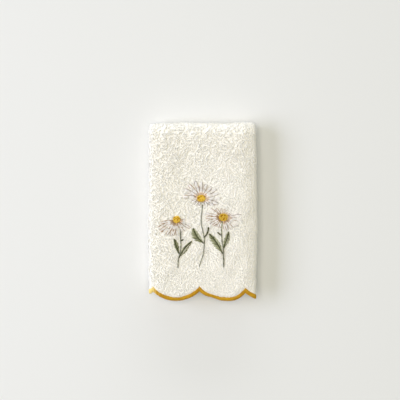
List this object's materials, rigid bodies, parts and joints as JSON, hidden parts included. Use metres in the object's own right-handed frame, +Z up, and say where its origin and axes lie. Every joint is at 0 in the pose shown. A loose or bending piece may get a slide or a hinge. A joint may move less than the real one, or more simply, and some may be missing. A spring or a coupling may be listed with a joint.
{
  "type": "folded hand towel",
  "caption": "Cream terry hand towel folded into a neat rectangle, its scalloped end on top, bound in mustard yellow stitching, with embroidered daisies on the face.",
  "frame": {"origin": "under the middle of the folded towel's box, on the surface that it lies on", "axes": "+X across the folded towel, +Y along it from the scalloped end to the top fold, +Z up"},
  "size_m": [0.1176, 0.1928, 0.0301],
  "materials": {
    "cream_terry": "soft uncut cotton loops, matt",
    "mustard_thread": "dense satin stitch, slight sheen",
    "white_thread": "embroidery thread, slight sheen",
    "taupe_thread": "fine outline stitch, matt",
    "sage_thread": "embroidery thread, slight sheen",
    "olive_thread": "embroidery thread, slight sheen"
  },
  "bodies": {
    "root": {"towel_cloth": "cream_terry", "scallop_band": "mustard_thread"}
  },
  "joints": []
}
